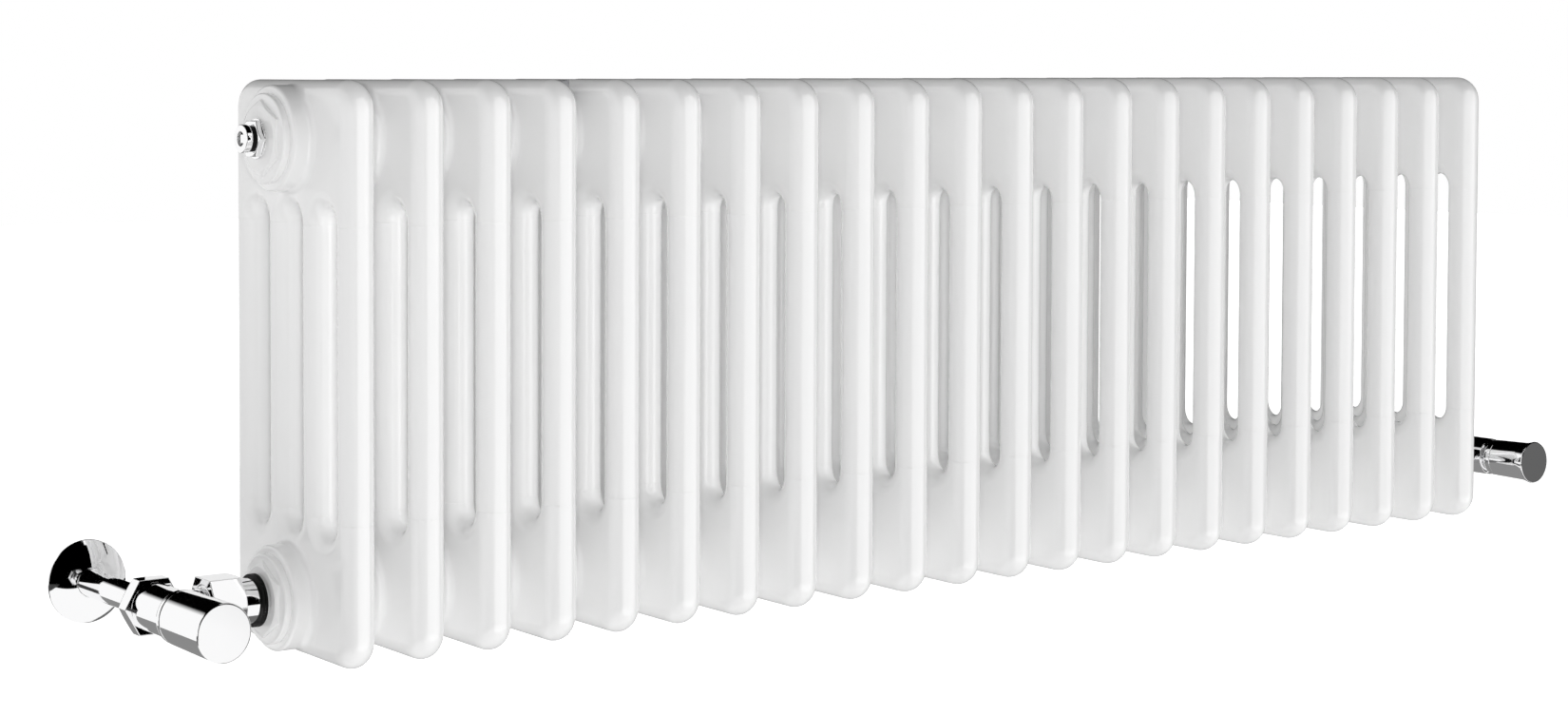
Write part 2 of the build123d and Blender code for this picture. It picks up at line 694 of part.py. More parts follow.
supply_bonnet = bonnet(LEFT, SUPPLY_FLANGE_DIAMETER, SUPPLY_FLANGE_LENGTH, SUPPLY_NECK_DIAMETER, 0)
return_bonnet = bonnet(
    RIGHT, RETURN_FLANGE_DIAMETER, RETURN_FLANGE_LENGTH, RETURN_NECK_DIAMETER, RETURN_FLANGE_ROUND
)
save(supply_bonnet, "supply_bonnet")
save(return_bonnet, "return_bonnet")
save(Compound([stem_ring(LEFT, SUPPLY_FLANGE_LENGTH), stem_ring(RIGHT, RETURN_FLANGE_LENGTH)]), "stem_rings")
save(disc_carrier(LEFT), "supply_disc")
save(disc_carrier(RIGHT), "return_disc")
save(disc_washer(LEFT), "supply_disc_washer")
save(disc_washer(RIGHT), "return_disc_washer")


# Knob of the supply valve

knob_axis = valve_plane(LEFT)
knob_start = BARREL_END + SUPPLY_FLANGE_LENGTH + HEAD_GAP
knob_end = knob_start + KNOB_LENGTH
knob_floor = knob_start + KNOB_CAVITY_DEPTH
grip_end = knob_floor + KNOB_GRIP

save(spindle(LEFT, grip_end), "supply_spindle")

with BuildPart() as knob:
    blank = turned(
        knob_axis,
        (knob_start, 0),
        (knob_start, KNOB_BASE_DIAMETER / 2),
        (knob_end, KNOB_END_DIAMETER / 2),
        (knob_end, 0),
    )
    add(blank)
    chamfer(knob.edges().filter_by(GeomType.CIRCLE), KNOB_BEVEL)
    add(rod(knob_axis, knob_start, knob_floor, KNOB_CAVITY_DIAMETER), mode=Mode.SUBTRACT)
    add(rod(knob_axis, knob_floor, grip_end, SPINDLE_DIAMETER), mode=Mode.SUBTRACT)
save(knob.part, "supply_knob")


# Spindle and cap of the return valve

cap_axis = valve_plane(RIGHT)
cap_start = BARREL_END + RETURN_FLANGE_LENGTH + RUNNING_PLAY
cap_end = cap_start + CAP_LENGTH
flare_start = cap_end - CAP_RIM - CAP_FLARE
cap_room = RETURN_NECK_DIAMETER + 2 * RUNNING_PLAY

with BuildPart() as return_spindle:
    add(spindle(RIGHT, return_neck_end))
    with BuildSketch(across(cap_axis, return_neck_end)):
        RegularPolygon(SPINDLE_KEY_FLATS / 2, 6, major_radius=False)
    extrude(amount=-SPINDLE_KEY_DEPTH, mode=Mode.SUBTRACT)
save(return_spindle.part, "return_spindle")

with BuildPart() as cap:
    with BuildSketch(cap_axis):
        with BuildLine():
            base = (cap_start, CAP_BASE_DIAMETER / 2)
            waist = (flare_start, CAP_WAIST_DIAMETER / 2)
            rim = (cap_end - CAP_RIM, CAP_END_DIAMETER / 2)
            bevel = (cap_end, CAP_END_DIAMETER / 2 - CAP_RIM / 2)
            Polyline(rim, bevel, (cap_end, 0), (cap_start, 0), base)
            Line(base, waist)
            taper = (CAP_WAIST_DIAMETER - CAP_BASE_DIAMETER) / 2 / (flare_start - cap_start)
            TangentArc(waist, rim, tangent=(1, taper))
        make_face()
    revolve(axis=Axis(cap_axis.origin, cap_axis.x_dir))
    add(rod(cap_axis, cap_start, cap_end - CAP_ROOF, cap_room), mode=Mode.SUBTRACT)
save(cap.part, "return_cap")


# Wall brackets: a rail with a cradle under the bottom hub, and a hook over the top hub

bracket_x = BRACKET_GAP_COUNT * SECTION_PITCH
hub_radius = HUB_DIAMETER / 2
rail_top = HUB_Z + hub_radius + HOOK_DEPTH
arm_top = -(HUB_Z + hub_radius) + EDGE_FLAT
arm_bottom = arm_top - ARM_DEPTH
arm_front = MIDDLE_Y - CRADLE_REACH
hook_tab_front = -(RAIL_THICKNESS + HOOK_TAB_THICKNESS)
hook_screw_z = rail_top - HOOK_TAB_LENGTH / 2


def hub_cut(level):
    """The round of a hub, which a cradle or hook fits."""
    with BuildPart() as cut:
        with Locations((0, MIDDLE_Y, level * HUB_Z)):
            Cylinder(hub_radius, ARM_THICKNESS, rotation=(0, 90, 0))
    return cut.part


def bracket(side):
    """The wall rail and the arm that carries the bottom hub."""
    x = side * bracket_x
    horn_top = arm_top + CRADLE_HORN
    with BuildPart() as piece:
        with BuildSketch(Plane.XZ):
            with Locations((x, (rail_top + arm_bottom) / 2)):
                Rectangle(RAIL_WIDTH, rail_top - arm_bottom)
            with Locations(*[(x, level * WALL_SCREW_SPACING / 2) for level in (TOP, BOTTOM)]):
                Circle(WALL_SCREW_HOLE / 2, mode=Mode.SUBTRACT)
            with Locations((x, hook_screw_z)):
                Circle(HOOK_SCREW_DIAMETER / 2, mode=Mode.SUBTRACT)
        extrude(amount=RAIL_THICKNESS)
        with BuildSketch(Plane.YZ.offset(x - ARM_THICKNESS / 2)):
            with BuildLine():
                Polyline(
                    (-RAIL_THICKNESS, arm_bottom),
                    (arm_front, arm_bottom),
                    (arm_front, horn_top),
                    (-RAIL_THICKNESS, horn_top),
                    close=True,
                )
            make_face()
        extrude(amount=ARM_THICKNESS)
        add(hub_cut(BOTTOM).moved(Location((x, 0, 0))), mode=Mode.SUBTRACT)
    return piece.part


def hook(side):
    """The hook over the top hub, with the tab that is screwed to the rail."""
    x = side * bracket_x
    hook_top = rail_top
    hook_arm_bottom = hook_top - HOOK_DEPTH
    with BuildPart() as piece:
        with BuildSketch(Plane.XZ.offset(RAIL_THICKNESS)):
            with Locations((x, hook_top)):
                Rectangle(RAIL_WIDTH, HOOK_TAB_LENGTH, align=(Align.CENTER, Align.MAX))
            with Locations((x, hook_screw_z)):
                Circle(HOOK_SCREW_DIAMETER / 2, mode=Mode.SUBTRACT)
        extrude(amount=HOOK_TAB_THICKNESS)
        with BuildSketch(Plane.YZ.offset(x - ARM_THICKNESS / 2)):
            with BuildLine():
                Polyline(
                    (hook_tab_front, hook_top),
                    (arm_front, hook_top),
                    (arm_front, hook_arm_bottom - CRADLE_HORN),
                    (hook_tab_front, hook_arm_bottom - CRADLE_HORN),
                    close=True,
                )
            make_face()
        extrude(amount=ARM_THICKNESS)
        add(hub_cut(TOP).moved(Location((x, 0, 0))), mode=Mode.SUBTRACT)
    return piece.part


def hook_screw(side):
    """The clamp screw through the hook's tab into the rail."""
    plane = Plane((side * bracket_x, 0, hook_screw_z), x_dir=(0, -1, 0), z_dir=(-1, 0, 0))
    tab = RAIL_THICKNESS + HOOK_TAB_THICKNESS
    with BuildPart() as screw:
        add(rod(plane, 0, tab, HOOK_SCREW_DIAMETER))
        add(rod(plane, tab, tab + HOOK_SCREW_HEAD_HEIGHT, HOOK_SCREW_HEAD_DIAMETER))
        rim = screw.edges().filter_by(GeomType.CIRCLE).sort_by(Axis.Y)[0]
        fillet(rim, HOOK_SCREW_HEAD_HEIGHT / 3)
    return screw.part


save(Compound([bracket(LEFT), bracket(RIGHT)]), "wall_brackets")
save(Compound([hook(LEFT), hook(RIGHT)]), "bracket_hooks")
save(Compound([hook_screw(LEFT), hook_screw(RIGHT)]), "hook_screws")
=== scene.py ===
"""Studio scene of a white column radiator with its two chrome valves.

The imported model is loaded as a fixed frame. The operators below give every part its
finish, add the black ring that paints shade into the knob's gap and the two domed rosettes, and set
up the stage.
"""

import math

import bpy
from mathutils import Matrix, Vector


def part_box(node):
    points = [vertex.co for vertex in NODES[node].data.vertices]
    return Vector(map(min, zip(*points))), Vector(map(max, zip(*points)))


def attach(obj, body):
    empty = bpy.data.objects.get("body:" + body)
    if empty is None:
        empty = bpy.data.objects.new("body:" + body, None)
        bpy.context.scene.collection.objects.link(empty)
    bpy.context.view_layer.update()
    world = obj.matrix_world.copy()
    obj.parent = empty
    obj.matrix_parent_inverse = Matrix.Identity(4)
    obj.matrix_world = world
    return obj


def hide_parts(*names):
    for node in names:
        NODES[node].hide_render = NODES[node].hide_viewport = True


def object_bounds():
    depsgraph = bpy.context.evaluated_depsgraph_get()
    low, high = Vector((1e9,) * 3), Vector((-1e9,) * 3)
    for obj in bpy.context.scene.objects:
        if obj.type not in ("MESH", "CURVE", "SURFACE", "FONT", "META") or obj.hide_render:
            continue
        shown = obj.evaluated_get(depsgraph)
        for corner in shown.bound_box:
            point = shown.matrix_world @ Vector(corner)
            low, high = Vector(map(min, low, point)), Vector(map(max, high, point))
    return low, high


bl_info = {
    "name": "Column radiator with valves",
    "version": (1, 0, 0),
    "blender": (4, 5, 0),
    "location": "View3D > Sidebar > Radiator",
    # The knob ring is the black ring that paints shade into the gap under the knob
    "description": "Finishes, knob ring, rosettes and studio stage of a steel column radiator",
    "category": "Object",
}

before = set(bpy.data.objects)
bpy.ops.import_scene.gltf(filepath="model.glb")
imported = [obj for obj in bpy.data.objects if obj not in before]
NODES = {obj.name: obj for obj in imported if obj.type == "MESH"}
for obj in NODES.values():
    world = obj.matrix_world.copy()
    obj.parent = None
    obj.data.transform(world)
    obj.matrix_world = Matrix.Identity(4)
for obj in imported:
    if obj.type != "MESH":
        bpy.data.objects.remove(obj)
CAD_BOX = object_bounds()

SECTION_NODES = sorted(name for name in NODES if name.startswith("section_"))
BUSH_NODES = sorted(name for name in NODES if name.startswith("end_bush_"))
CHROME_NODES = (
    "blank_plug",
    "compression_nuts",
    "return_body",
    "return_bonnet",
    "return_cap",
    "return_pipe",
    "supply_body",
    "supply_bonnet",
    "supply_knob",
    "supply_pipe",
    "tail_sleeves",
    "union_nuts",
    "vent_body",
    "vent_head",
    "vent_pin",
)
RUBBER_NODES = (
    "bush_gaskets",
    "seal_rings",
    "stem_rings",
    "return_disc_washer",
    "supply_disc_washer",
    "union_washers",
    "vent_seal",
)
BRASS_NODES = (
    "olives",
    "return_disc",
    "return_spindle",
    "return_tail",
    "supply_disc",
    "supply_spindle",
    "supply_tail",
)
BRACKET_NODES = ("wall_brackets",)
ZINC_NODES = ("bracket_hooks", "hook_screws")

# Black rubber ring in the gap between the supply valve's bonnet and its knob; it paints the gap's
# shade black
HEAD_GAP = 0.001
RING_INSET = 0.0001
RING_WIDTH = 0.0026
RING_LENGTH = 0.0009
RING_POINTS = 96
RING_SIDES = 12

# Pressed wall rosettes: a low rim, then a dome up to the bore round the pipe
ROSETTE_POINTS = 96
ROSETTE_RIM = 0.0012
ROSETTE_RINGS = 12
BORE_CLEARANCE = 0.0002
SMOOTH_ANGLE = math.radians(35.0)

# Least height of the normal of a face that counts as facing up or down
FLAT_NORMAL = 0.5

ORIGIN = (0.0, 0.0, 0.0)
QUARTER_TURN = math.pi / 2

# Part of a noise value's range that is spread over a finish's two limits
NOISE_LOW = 0.3
NOISE_HIGH = 0.7

# Rays that a finish sends out to round off its sharp edges
BEVEL_SAMPLES = 8

# Relief of the paint, which is coarser and duller on the brackets
PEEL_DEPTH = 0.000015
BRACKET_PEEL_SIZE = 0.0014
BRACKET_PEEL_DEPTH = 0.0001
BRACKET_DULLNESS = 0.15

# Dark parts of the room that shiny surfaces mirror: a direction, its edge and the blur of the edge
DARK_BACK = ((0.643, 0.0, 0.766), 0.2, 0.07)
DARK_FRONT = ((0.0, -1.2, 1.0), 0.886, 0.006)

# Upright lamp in front whose reflection is the highlight on the painted columns
HIGHLIGHT_PLACE = (0.42, -1.17, 0.1)
HIGHLIGHT_TARGET = (0.42, 0.0, 0.1)
HIGHLIGHT_SIZE = (2.45, 2.2)

# Fill lamps: a place and a size each, all facing one point
FILLS = {
    "left_fill": ((-1.21, -1.45, 0.21), (0.2, 0.2)),
    "right_fill": ((1.7, -2.6, 0.25), (1.2, 1.0)),
}
FILL_TARGET = (0.0, -0.1, 0.0)

FLOOR_SIZE = 30.0
FLOOR_COLOUR = (0.9, 0.9, 0.9)
FLOOR_SEEN = 0.9
WHITE = (1.0, 1.0, 1.0)
PICTURE_WIDTH = 36.0
CLIP_START = 0.05
CLIP_END = 60.0

# Upright and lying cards that show only in reflections, as painted reflections: two opposite
# corners, and a glowing grey
LYING_CARD_HEIGHT = -0.84
CARDS = {
    "grey_back_card": ((-4.0, 0.3, LYING_CARD_HEIGHT), (5.0, 1.75, LYING_CARD_HEIGHT), 0.26),
    "dark_left_card": ((-4.2, -4.0, LYING_CARD_HEIGHT), (-1.5, 0.3, LYING_CARD_HEIGHT), 0.05),
    "dark_under_card": ((-0.3, -0.38, LYING_CARD_HEIGHT), (1.2, 0.3, LYING_CARD_HEIGHT), 0.15),
    "dark_nut_card": ((-0.538, -0.185, -0.172), (-0.488, -0.185, -0.09), 0.0),
    "white_front_card": ((0.0, -1.35, 0.75), (0.8, -1.35, 1.5), 1.0),
    "white_wall_card": ((-0.52, 0.006, -0.125), (-0.38, 0.006, -0.07), 0.85),
    "grey_cap_card": ((1.76, -1.3, -0.46), (1.76, -0.8, -0.19), 0.127),
}


class PaintLook(bpy.types.PropertyGroup):
    """The white stoved paint on the sections and bushes."""

    colour: bpy.props.FloatVectorProperty(
        name="Colour",
        description="Body colour of the white paint",
        subtype="COLOR",
        size=3,
        min=0.0,
        max=1.0,
        default=(0.955, 0.955, 0.953),
    )
    shade: bpy.props.FloatVectorProperty(
        name="Thin colour",
        description="Colour where the paint film is a little thinner",
        subtype="COLOR",
        size=3,
        min=0.0,
        max=1.0,
        default=(0.945, 0.945, 0.945),
    )
    gloss: bpy.props.FloatProperty(
        name="Roughness",
        description="Roughness of the paint film",
        subtype="FACTOR",
        min=0.0,
        max=1.0,
        default=0.15,
    )
    peel_size: bpy.props.FloatProperty(
        name="Peel size",
        description="Width of one dimple of the orange peel",
        unit="LENGTH",
        min=0.0002,
        max=0.02,
        default=0.0032,
    )
    edge_round: bpy.props.FloatProperty(
        name="Edge round",
        description="Radius that the paint film gives to sharp steel edges",
        unit="LENGTH",
        min=0.0,
        max=0.01,
        default=0.0008,
    )


class MetalLook(bpy.types.PropertyGroup):
    """The metals and the rubber of the valves and fixings."""

    chrome: bpy.props.FloatVectorProperty(
        name="Chrome",
        description="Mirror colour of the chrome plate",
        subtype="COLOR",
        size=3,
        min=0.0,
        max=1.0,
        default=(0.955, 0.955, 0.96),
    )
    brass: bpy.props.FloatVectorProperty(
        name="Brass",
        description="Colour of the bare brass",
        subtype="COLOR",
        size=3,
        min=0.0,
        max=1.0,
        default=(0.72, 0.5, 0.2),
    )
    zinc: bpy.props.FloatVectorProperty(
        name="Zinc",
        description="Colour of the zinc plate",
        subtype="COLOR",
        size=3,
        min=0.0,
        max=1.0,
        default=(0.6, 0.61, 0.63),
    )
    rubber: bpy.props.FloatVectorProperty(
        name="Rubber",
        description="Colour of the black seals",
        subtype="COLOR",
        size=3,
        min=0.0,
        max=1.0,
        default=(0.004, 0.004, 0.004),
    )


class StageLook(bpy.types.PropertyGroup):
    """The camera, the floor and the studio light."""

    camera_place: bpy.props.FloatVectorProperty(
        name="Camera place",
        description="Where the camera stands",
        subtype="TRANSLATION",
        unit="LENGTH",
        size=3,
        default=(-1.2106, -1.4461, 0.1683),
    )
    camera_heading: bpy.props.FloatProperty(
        name="Heading",
        description="Angle from the wall's normal to the camera's line of sight",
        subtype="ANGLE",
        default=math.radians(33.15),
    )
    camera_tilt: bpy.props.FloatProperty(
        name="Tilt",
        description="How far the camera looks down",
        subtype="ANGLE",
        default=math.radians(2.113),
    )
    camera_lens: bpy.props.FloatProperty(
        name="Lens",
        description="Focal length on a 36 mm wide picture, in millimetres",
        min=1.0,
        default=61.882,
    )
    camera_shift: bpy.props.FloatVectorProperty(
        name="Shift",
        description="Sideways and upward shift of the picture in picture widths",
        size=2,
        default=(0.1761, -0.12),
    )
    floor_drop: bpy.props.FloatProperty(
        name="Floor drop",
        description="Height of the radiator's lowest point above the floor",
        unit="LENGTH",
        min=0.0,
        default=0.68,
    )
    floor_glow: bpy.props.FloatProperty(
        name="Floor light",
        description="Strength of the light that the floor gives back",
        min=0.0,
        default=0.3,
    )
    highlight: bpy.props.FloatProperty(
        name="Highlight",
        description="Power of the upright lamp that puts the highlight on the columns",
        unit="POWER",
        min=0.0,
        default=38.0,
    )
    left_fill: bpy.props.FloatProperty(
        name="Left fill",
        description="Power of the fill light beside the camera, which reaches into the gaps",
        unit="POWER",
        min=0.0,
        default=7.0,
    )
    right_fill: bpy.props.FloatProperty(
        name="Right fill",
        description="Power of the broad fill light on the right",
        unit="POWER",
        min=0.0,
        default=26.0,
    )
    front_share: bpy.props.FloatProperty(
        name="Front share",
        description="Factor on the even light that comes from straight in front",
        min=0.0,
        default=0.05,
    )
    back_share: bpy.props.FloatProperty(
        name="Back share",
        description="Factor on the even light that comes from straight behind",
        min=0.0,
        default=2.35,
    )
    horizon_light: bpy.props.FloatProperty(
        name="Wall light",
        description="Strength of the even light at the horizon, before the front and back factors",
        min=0.0,
        default=0.56,
    )
    ceiling_light: bpy.props.FloatProperty(
        name="Ceiling light",
        description="Strength of the even light overhead, before the front and back factors",
        min=0.0,
        default=0.25,
    )


def set_values(node, values):
    """Give a node's properties and input sockets their constant values."""
    for key, value in values.items():
        if key in node.inputs:
            node.inputs[key].default_value = value
        else:
            setattr(node, key, value)


def add_node(tree, kind, **values):
    """Add a shader node with its constant values."""
    node = tree.nodes.new("ShaderNode" + kind)
    set_values(node, values)
    return node


def opaque(colour):
    """A colour with full alpha, as the shader sockets take it."""
    return (*colour, 1.0)


def new_finish(name):
    """Start a material that has only its main shader and output."""
    material = bpy.data.materials.new(name)
    material.use_nodes = True
    tree = material.node_tree
    tree.nodes.clear()
    output = add_node(tree, "OutputMaterial")
    main = add_node(tree, "BsdfPrincipled")
    tree.links.new(main.outputs["BSDF"], output.inputs["Surface"])
    return material, tree, main


def noise_on_object(tree, size, detail, roughness=0.5):
    """Noise on object coordinates whose cells are about one size wide."""
    place = add_node(tree, "TexCoord")
    noise = add_node(tree, "TexNoise", Scale=1.0 / size, Detail=detail, Roughness=roughness)
    tree.links.new(place.outputs["Object"], noise.inputs["Vector"])
    return noise.outputs[0]


def ranged(tree, source, low, high, from_low=NOISE_LOW, from_high=NOISE_HIGH):
    """Turn a value, by default a noise, into a number between two limits."""
    node = add_node(tree, "MapRange")
    node.inputs["From Min"].default_value = from_low
    node.inputs["From Max"].default_value = from_high
    node.inputs["To Min"].default_value = low
    node.inputs["To Max"].default_value = high
    tree.links.new(source, node.inputs["Value"])
    return node.outputs["Result"]


def between(tree, source, low, high):
    """Turn a noise value into a colour between two colours."""
    ramp = add_node(tree, "ValToRGB")
    stops = ((NOISE_LOW, low), (NOISE_HIGH, high))
    for element, (position, colour) in zip(ramp.color_ramp.elements, stops):
        element.position = position
        element.color = opaque(colour)
    tree.links.new(source, ramp.inputs["Fac"])
    return ramp.outputs["Color"]


def bumped(tree, source, depth, strength, under=None):
    """Relief of a depth in metres from a noise value, over another relief if one is given."""
    bump = add_node(tree, "Bump", Strength=strength, Distance=depth)
    tree.links.new(source, bump.inputs["Height"])
    if under:
        tree.links.new(under, bump.inputs["Normal"])
    return bump.outputs["Normal"]


def rounded(tree, radius):
    """Normal that is rounded over at sharp edges."""
    bevel = add_node(tree, "Bevel", samples=BEVEL_SAMPLES, Radius=radius)
    return bevel.outputs["Normal"]


def paint_finish(name, look, roughness, peel_size, peel_depth):
    """White stoved paint: orange peel, a thin clear gloss and soft edges."""
    film_size = 0.09
    haze_size = 0.018
    smoother = 0.015
    rougher = 0.02
    fine_share = 0.3
    fine_depth_share = 0.2
    material, tree, main = new_finish(name)
    set_values(
        main,
        {
            "IOR": 1.47,
            "Coat Weight": 0.15,
            "Coat Roughness": 0.06,
            "Coat IOR": 1.5,
        },
    )
    film = noise_on_object(tree, film_size, detail=3.0)
    tree.links.new(between(tree, film, look.shade, look.colour), main.inputs["Base Color"])
    haze = noise_on_object(tree, haze_size, detail=4.0)
    dullness = ranged(tree, haze, roughness - smoother, roughness + rougher)
    tree.links.new(dullness, main.inputs["Roughness"])
    edges = rounded(tree, look.edge_round)
    peel = noise_on_object(tree, peel_size, detail=1.0)
    wide = bumped(tree, peel, peel_depth, strength=0.35, under=edges)
    fine = noise_on_object(tree, peel_size * fine_share, detail=2.0)
    relief = bumped(tree, fine, peel_depth * fine_depth_share, strength=0.25, under=wide)
    tree.links.new(relief, main.inputs["Normal"])
    return material


def chrome_finish(name, colour):
    """Bright chrome plate with a faint haze, slight waves and soft edges."""
    haze_size = 0.012
    wave_size = 0.02
    wave_depth = 0.00002
    edge_radius = 0.0008
    material, tree, main = new_finish(name)
    set_values(main, {"Base Color": opaque(colour), "Metallic": 1.0})
    haze = noise_on_object(tree, haze_size, detail=4.0, roughness=0.6)
    tree.links.new(ranged(tree, haze, low=0.025, high=0.06), main.inputs["Roughness"])
    edges = rounded(tree, edge_radius)
    waves = noise_on_object(tree, wave_size, detail=1.0)
    tree.links.new(bumped(tree, waves, wave_depth, strength=0.3, under=edges), main.inputs["Normal"])
    return material


def rubber_finish(name, colour):
    """Black moulded rubber with a fine dull grain."""
    grain_size = 0.0006
    grain_depth = 0.00005
    bloom_size = 0.004
    pale_share = 2.2
    material, tree, main = new_finish(name)
    set_values(main, {"IOR": 1.5, "Specular IOR Level": 0.15})
    grain = noise_on_object(tree, grain_size, detail=3.0)
    pale = tuple(channel * pale_share for channel in colour)
    tree.links.new(between(tree, grain, colour, pale), main.inputs["Base Color"])
    bloom = noise_on_object(tree, bloom_size, detail=2.0)
    tree.links.new(ranged(tree, bloom, low=0.42, high=0.6), main.inputs["Roughness"])
    tree.links.new(bumped(tree, grain, grain_depth, strength=0.4), main.inputs["Normal"])
    return material


def brass_finish(name, colour):
    """Turned brass with fine tool marks and slight tarnish."""
    tarnish_size = 0.006
    tarnish_share = 0.72
    mark_size = 0.0005
    mark_depth = 0.00002
    material, tree, main = new_finish(name)
    set_values(main, {"Metallic": 1.0})
    tarnish = noise_on_object(tree, tarnish_size, detail=4.0)
    dull = tuple(channel * tarnish_share for channel in colour)
    tree.links.new(between(tree, tarnish, dull, colour), main.inputs["Base Color"])
    tree.links.new(ranged(tree, tarnish, low=0.34, high=0.2), main.inputs["Roughness"])
    marks = noise_on_object(tree, mark_size, detail=1.0)
    tree.links.new(bumped(tree, marks, mark_depth, strength=0.4), main.inputs["Normal"])
    return material


def zinc_finish(name, colour):
    """Zinc-plated steel with faint cloudy spangle."""
    cloud_size = 0.005
    cloud_share = 0.78
    pit_size = 0.0009
    pit_depth = 0.00003
    edge_radius = 0.0004
    material, tree, main = new_finish(name)
    set_values(main, {"Metallic": 1.0})
    cloud = noise_on_object(tree, cloud_size, detail=5.0, roughness=0.65)
    dull = tuple(channel * cloud_share for channel in colour)
    tree.links.new(between(tree, cloud, dull, colour), main.inputs["Base Color"])
    tree.links.new(ranged(tree, cloud, low=0.42, high=0.26), main.inputs["Roughness"])
    pits = noise_on_object(tree, pit_size, detail=2.0)
    edges = rounded(tree, edge_radius)
    tree.links.new(bumped(tree, pits, pit_depth, strength=0.35, under=edges), main.inputs["Normal"])
    return material


def dress(names, material):
    """Put one finish on CAD nodes."""
    for name in names:
        slots = NODES[name].data.materials
        slots.clear()
        slots.append(material)


def clear_selection():
    """Deselect everything, so that an operator acts on the new piece alone."""
    bpy.ops.object.select_all(action="DESELECT")


def select_faces(piece, wanted):
    """Leave a piece in face edit mode with only the wanted faces selected."""
    bpy.ops.object.mode_set(mode="EDIT")
    bpy.ops.mesh.select_mode(type="FACE")
    bpy.ops.mesh.select_all(action="DESELECT")
    bpy.ops.object.mode_set(mode="OBJECT")
    for face in piece.data.polygons:
        face.select = wanted(face)
    bpy.ops.object.mode_set(mode="EDIT")


def tip_about_x(angle):
    """Turn what is selected about the X axis through the origin."""
    bpy.ops.transform.rotate(value=angle, orient_axis="X", center_override=ORIGIN)


def dome_steps(reach, bore, rise):
    """Give each ring of a round dome its inset and its lift, from the rim in to the bore."""
    drop = (reach**2 - bore**2 - rise**2) / (2 * rise)
    dome = math.hypot(reach, drop)
    radius = reach
    height = 0.0
    for ring in range(1, ROSETTE_RINGS + 1):
        next_radius = reach + (bore - reach) * ring / ROSETTE_RINGS
        next_height = math.sqrt(dome**2 - next_radius**2) - drop
        yield radius - next_radius, next_height - height
        radius = next_radius
        height = next_height


class RADIATOR_OT_paint(bpy.types.Operator):
    """Paint the sections, the end bushes and the wall brackets white"""

    bl_idname = "radiator.paint"
    bl_label = "Paint the radiator"

    def execute(self, context):
        look = context.scene.radiator_paint
        paint = paint_finish("white_paint_finish", look, look.gloss, look.peel_size, PEEL_DEPTH)
        dress(SECTION_NODES + BUSH_NODES, paint)
        dull = look.gloss + BRACKET_DULLNESS
        textured = paint_finish(
            "bracket_paint_finish", look, dull, BRACKET_PEEL_SIZE, BRACKET_PEEL_DEPTH
        )
        dress(BRACKET_NODES, textured)
        return {"FINISHED"}


class RADIATOR_OT_plate(bpy.types.Operator):
    """Plate the valves and the vent with chrome"""

    bl_idname = "radiator.plate"
    bl_label = "Plate the valves"

    def execute(self, context):
        look = context.scene.radiator_metal
        dress(CHROME_NODES, chrome_finish("chrome_finish", look.chrome))
        return {"FINISHED"}


class RADIATOR_OT_seal(bpy.types.Operator):
    """Give the seals and washers their black rubber"""

    bl_idname = "radiator.seal"
    bl_label = "Finish the seals"

    def execute(self, context):
        look = context.scene.radiator_metal
        dress(RUBBER_NODES, rubber_finish("rubber_finish", look.rubber))
        return {"FINISHED"}


class RADIATOR_OT_fixings(bpy.types.Operator):
    """Finish the brass inner parts and the zinc-plated hooks"""

    bl_idname = "radiator.fixings"
    bl_label = "Finish brass and zinc"

    def execute(self, context):
        look = context.scene.radiator_metal
        dress(BRASS_NODES, brass_finish("brass_finish", look.brass))
        dress(ZINC_NODES, zinc_finish("zinc_finish", look.zinc))
        return {"FINISHED"}


class RADIATOR_OT_gap_shade_ring(bpy.types.Operator):
    """Add the thin black rubber ring in the knob's gap, which paints the gap's shade black"""

    bl_idname = "radiator.knob_ring"
    bl_label = "Add the knob ring"

    def execute(self, context):
        look = context.scene.radiator_metal
        bonnet_low, bonnet_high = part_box("supply_bonnet")
        knob_low, knob_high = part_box("supply_knob")
        flange = (bonnet_high.x - bonnet_low.x) / 2
        knob_end = knob_high.y
        middle = (knob_low + knob_high) / 2
        reach = flange - RING_INSET
        clear_selection()
        # Painted shade: a black ring that fills the dark gap between bonnet and knob
        bpy.ops.mesh.primitive_torus_add(
            major_radius=reach - RING_WIDTH / 2,
            minor_radius=RING_WIDTH / 2,
            major_segments=RING_POINTS,
            minor_segments=RING_SIDES,
        )
        ring = context.object
        ring.name = "knob_ring"
        bpy.ops.object.mode_set(mode="EDIT")
        bpy.ops.mesh.select_all(action="SELECT")
        bpy.ops.transform.resize(value=(1.0, 1.0, RING_LENGTH / RING_WIDTH))
        tip_about_x(QUARTER_TURN)
        bpy.ops.transform.translate(value=(middle.x, knob_end + HEAD_GAP / 2, middle.z))
        bpy.ops.object.mode_set(mode="OBJECT")
        bpy.ops.object.shade_smooth()
        ring.data.materials.append(rubber_finish("knob_ring_finish", look.rubber))
        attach(ring, "radiator")
        return {"FINISHED"}


